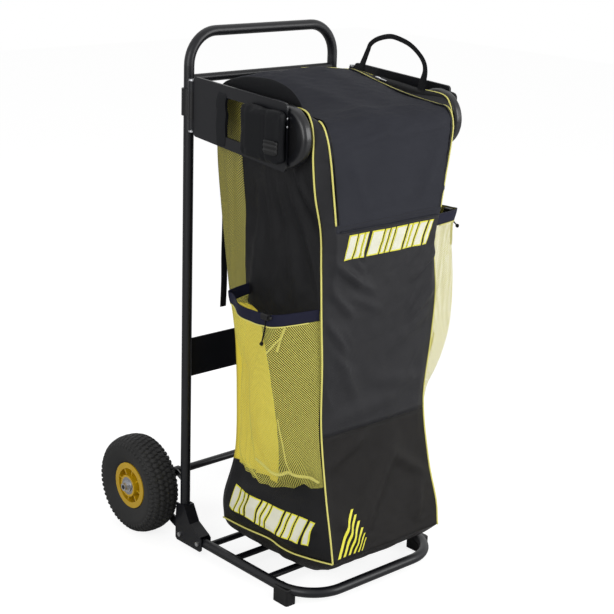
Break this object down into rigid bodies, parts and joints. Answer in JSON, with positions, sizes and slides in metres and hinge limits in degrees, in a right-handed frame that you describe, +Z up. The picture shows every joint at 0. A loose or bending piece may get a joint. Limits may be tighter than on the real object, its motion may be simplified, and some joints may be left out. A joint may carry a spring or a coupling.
{
  "type": "wheeled ball bag trolley",
  "caption": "Upright two-wheel tube trolley with a tall zipped fabric ball bag, bulging mesh side pockets and hinged side arms with rollers.",
  "frame": {"origin": "middle of the plan, on the floor that the tyres and feet stand on", "axes": "+Z up, +X to the right seen from the front, -Y towards the front of the bag"},
  "size_m": [0.632, 0.7714, 1.3285],
  "materials": {
    "black_steel": "semi-gloss black powder coat on bent steel tube",
    "zinc_steel": "bright zinc plate, lightly scratched",
    "axle_steel": "black coated steel",
    "bearing_steel": "ground steel with a grease film",
    "tyre_rubber": "moulded black rubber with a block tread",
    "tube_rubber": "smooth black rubber",
    "yellow_plastic": "moulded yellow plastic, ribbed",
    "black_plastic": "moulded black plastic, soft gloss",
    "roller_rubber": "moulded black rubber, polished rim",
    "black_nylon": "coated nylon, plain weave, slight sheen",
    "flap_nylon": "coated nylon, plain weave, slight sheen",
    "yellow_mesh": "open knitted mesh",
    "black_webbing": "woven nylon webbing",
    "padded_nylon": "padded nylon, sewn",
    "board": "stiff plastic sheet",
    "cord_black": "braided elastic cord",
    "zip_metal": "cast zinc, nickel plate"
  },
  "bodies": {
    "frame": {"main_frame": "black_steel", "upper_crossbar": "black_steel", "back_plate": "black_steel", "toe_frame": "black_steel", "toe_rungs": "black_steel", "toe_feet": "black_plastic", "foot_bracket_left": "black_steel", "foot_bracket_right": "black_steel", "frame_bolts": "zinc_steel", "axle": "axle_steel", "hub_fasteners": "zinc_steel", "axle_spacers": "axle_steel", "axle_stay_left": "black_steel", "axle_stay_right": "black_steel", "axle_brace_left": "black_steel", "axle_brace_right": "black_steel", "hinge_bracket_left": "black_plastic", "hinge_bracket_right": "black_plastic", "hinge_pins": "zinc_steel"},
    "wheel_left": {"rim_left": "yellow_plastic", "bearings_left": "bearing_steel", "tyre_left": "tyre_rubber", "inner_tube_left": "tube_rubber", "valve_left": "tube_rubber"},
    "arm_left": {"arm_frame_left": "black_steel", "roller_pin_left": "zinc_steel", "arm_pad_left": "padded_nylon", "arm_buckle_left": "black_plastic"},
    "roller_left": {"roller_core_left": "black_plastic", "roller_tread_left": "roller_rubber"},
    "button_left": {"lock_button_left": "black_plastic"},
    "wheel_right": {"rim_right": "yellow_plastic", "bearings_right": "bearing_steel", "tyre_right": "tyre_rubber", "inner_tube_right": "tube_rubber", "valve_right": "tube_rubber"},
    "arm_right": {"arm_frame_right": "black_steel", "roller_pin_right": "zinc_steel", "arm_pad_right": "padded_nylon", "arm_buckle_right": "black_plastic"},
    "roller_right": {"roller_core_right": "black_plastic", "roller_tread_right": "roller_rubber"},
    "button_right": {"lock_button_right": "black_plastic"},
    "bag": {"front_panel": "black_nylon", "back_panel": "black_nylon", "bag_side_left": "black_nylon", "bag_side_right": "black_nylon", "bag_base": "black_nylon", "base_board": "board", "pocket_left": "yellow_mesh", "pocket_right": "yellow_mesh", "cord_lock_left": "black_plastic", "cord_lock_right": "black_plastic", "drawcord_tail_left": "cord_black", "drawcord_tail_right": "cord_black", "handle_loop": "black_webbing", "carry_handle": "padded_nylon", "strap_tail": "black_webbing"},
    "hood": {"hood": "flap_nylon"},
    "zip": {"zip_slider": "zip_metal"}
  },
  "joints": [
    {"name": "wheel_left_spin", "type": "hinge", "parent": "frame", "child": "wheel_left", "pos_m": [-0.264, 0.25575, 0.13], "axis": [1, 0, 0], "continuous": true},
    {"name": "arm_left_swing", "type": "hinge", "parent": "frame", "child": "arm_left", "pos_m": [-0.258, 0.05375, 1.153], "axis": [0, 0, -1], "range_deg": [0, 110]},
    {"name": "roller_left_spin", "type": "hinge", "parent": "arm_left", "child": "roller_left", "pos_m": [-0.24, -0.26625, 1.128], "axis": [1, 0, 0], "continuous": true},
    {"name": "lock_button_left_press", "type": "slide", "parent": "bag", "child": "button_left", "axis": [0, 1, 0], "range_m": [0, 0.004], "stiffness_N_per_m": 300, "springref_m": -0.003},
    {"name": "wheel_right_spin", "type": "hinge", "parent": "frame", "child": "wheel_right", "pos_m": [0.264, 0.25575, 0.13], "axis": [1, 0, 0], "continuous": true},
    {"name": "arm_right_swing", "type": "hinge", "parent": "frame", "child": "arm_right", "pos_m": [0.258, 0.05375, 1.153], "axis": [0, 0, 1], "range_deg": [0, 110]},
    {"name": "roller_right_spin", "type": "hinge", "parent": "arm_right", "child": "roller_right", "pos_m": [0.24, -0.26625, 1.128], "axis": [1, 0, 0], "continuous": true},
    {"name": "lock_button_right_press", "type": "slide", "parent": "bag", "child": "button_right", "axis": [0, 1, 0], "range_m": [0, 0.004], "stiffness_N_per_m": 300, "springref_m": -0.003},
    {"name": "bag_lift_off", "type": "slide", "parent": "frame", "child": "bag", "axis": [0, -0.9397, 0.3419], "range_m": [0, 0.6]},
    {"name": "hood_open", "type": "hinge", "parent": "bag", "child": "hood", "pos_m": [0, -0.35625, 0.91515], "axis": [1, 0, 0], "range_deg": [0, 110]},
    {"name": "zip_slide", "type": "slide", "parent": "bag", "child": "zip", "axis": [0, -0.99, -0.141], "range_m": [0, 0.18]}
  ]
}
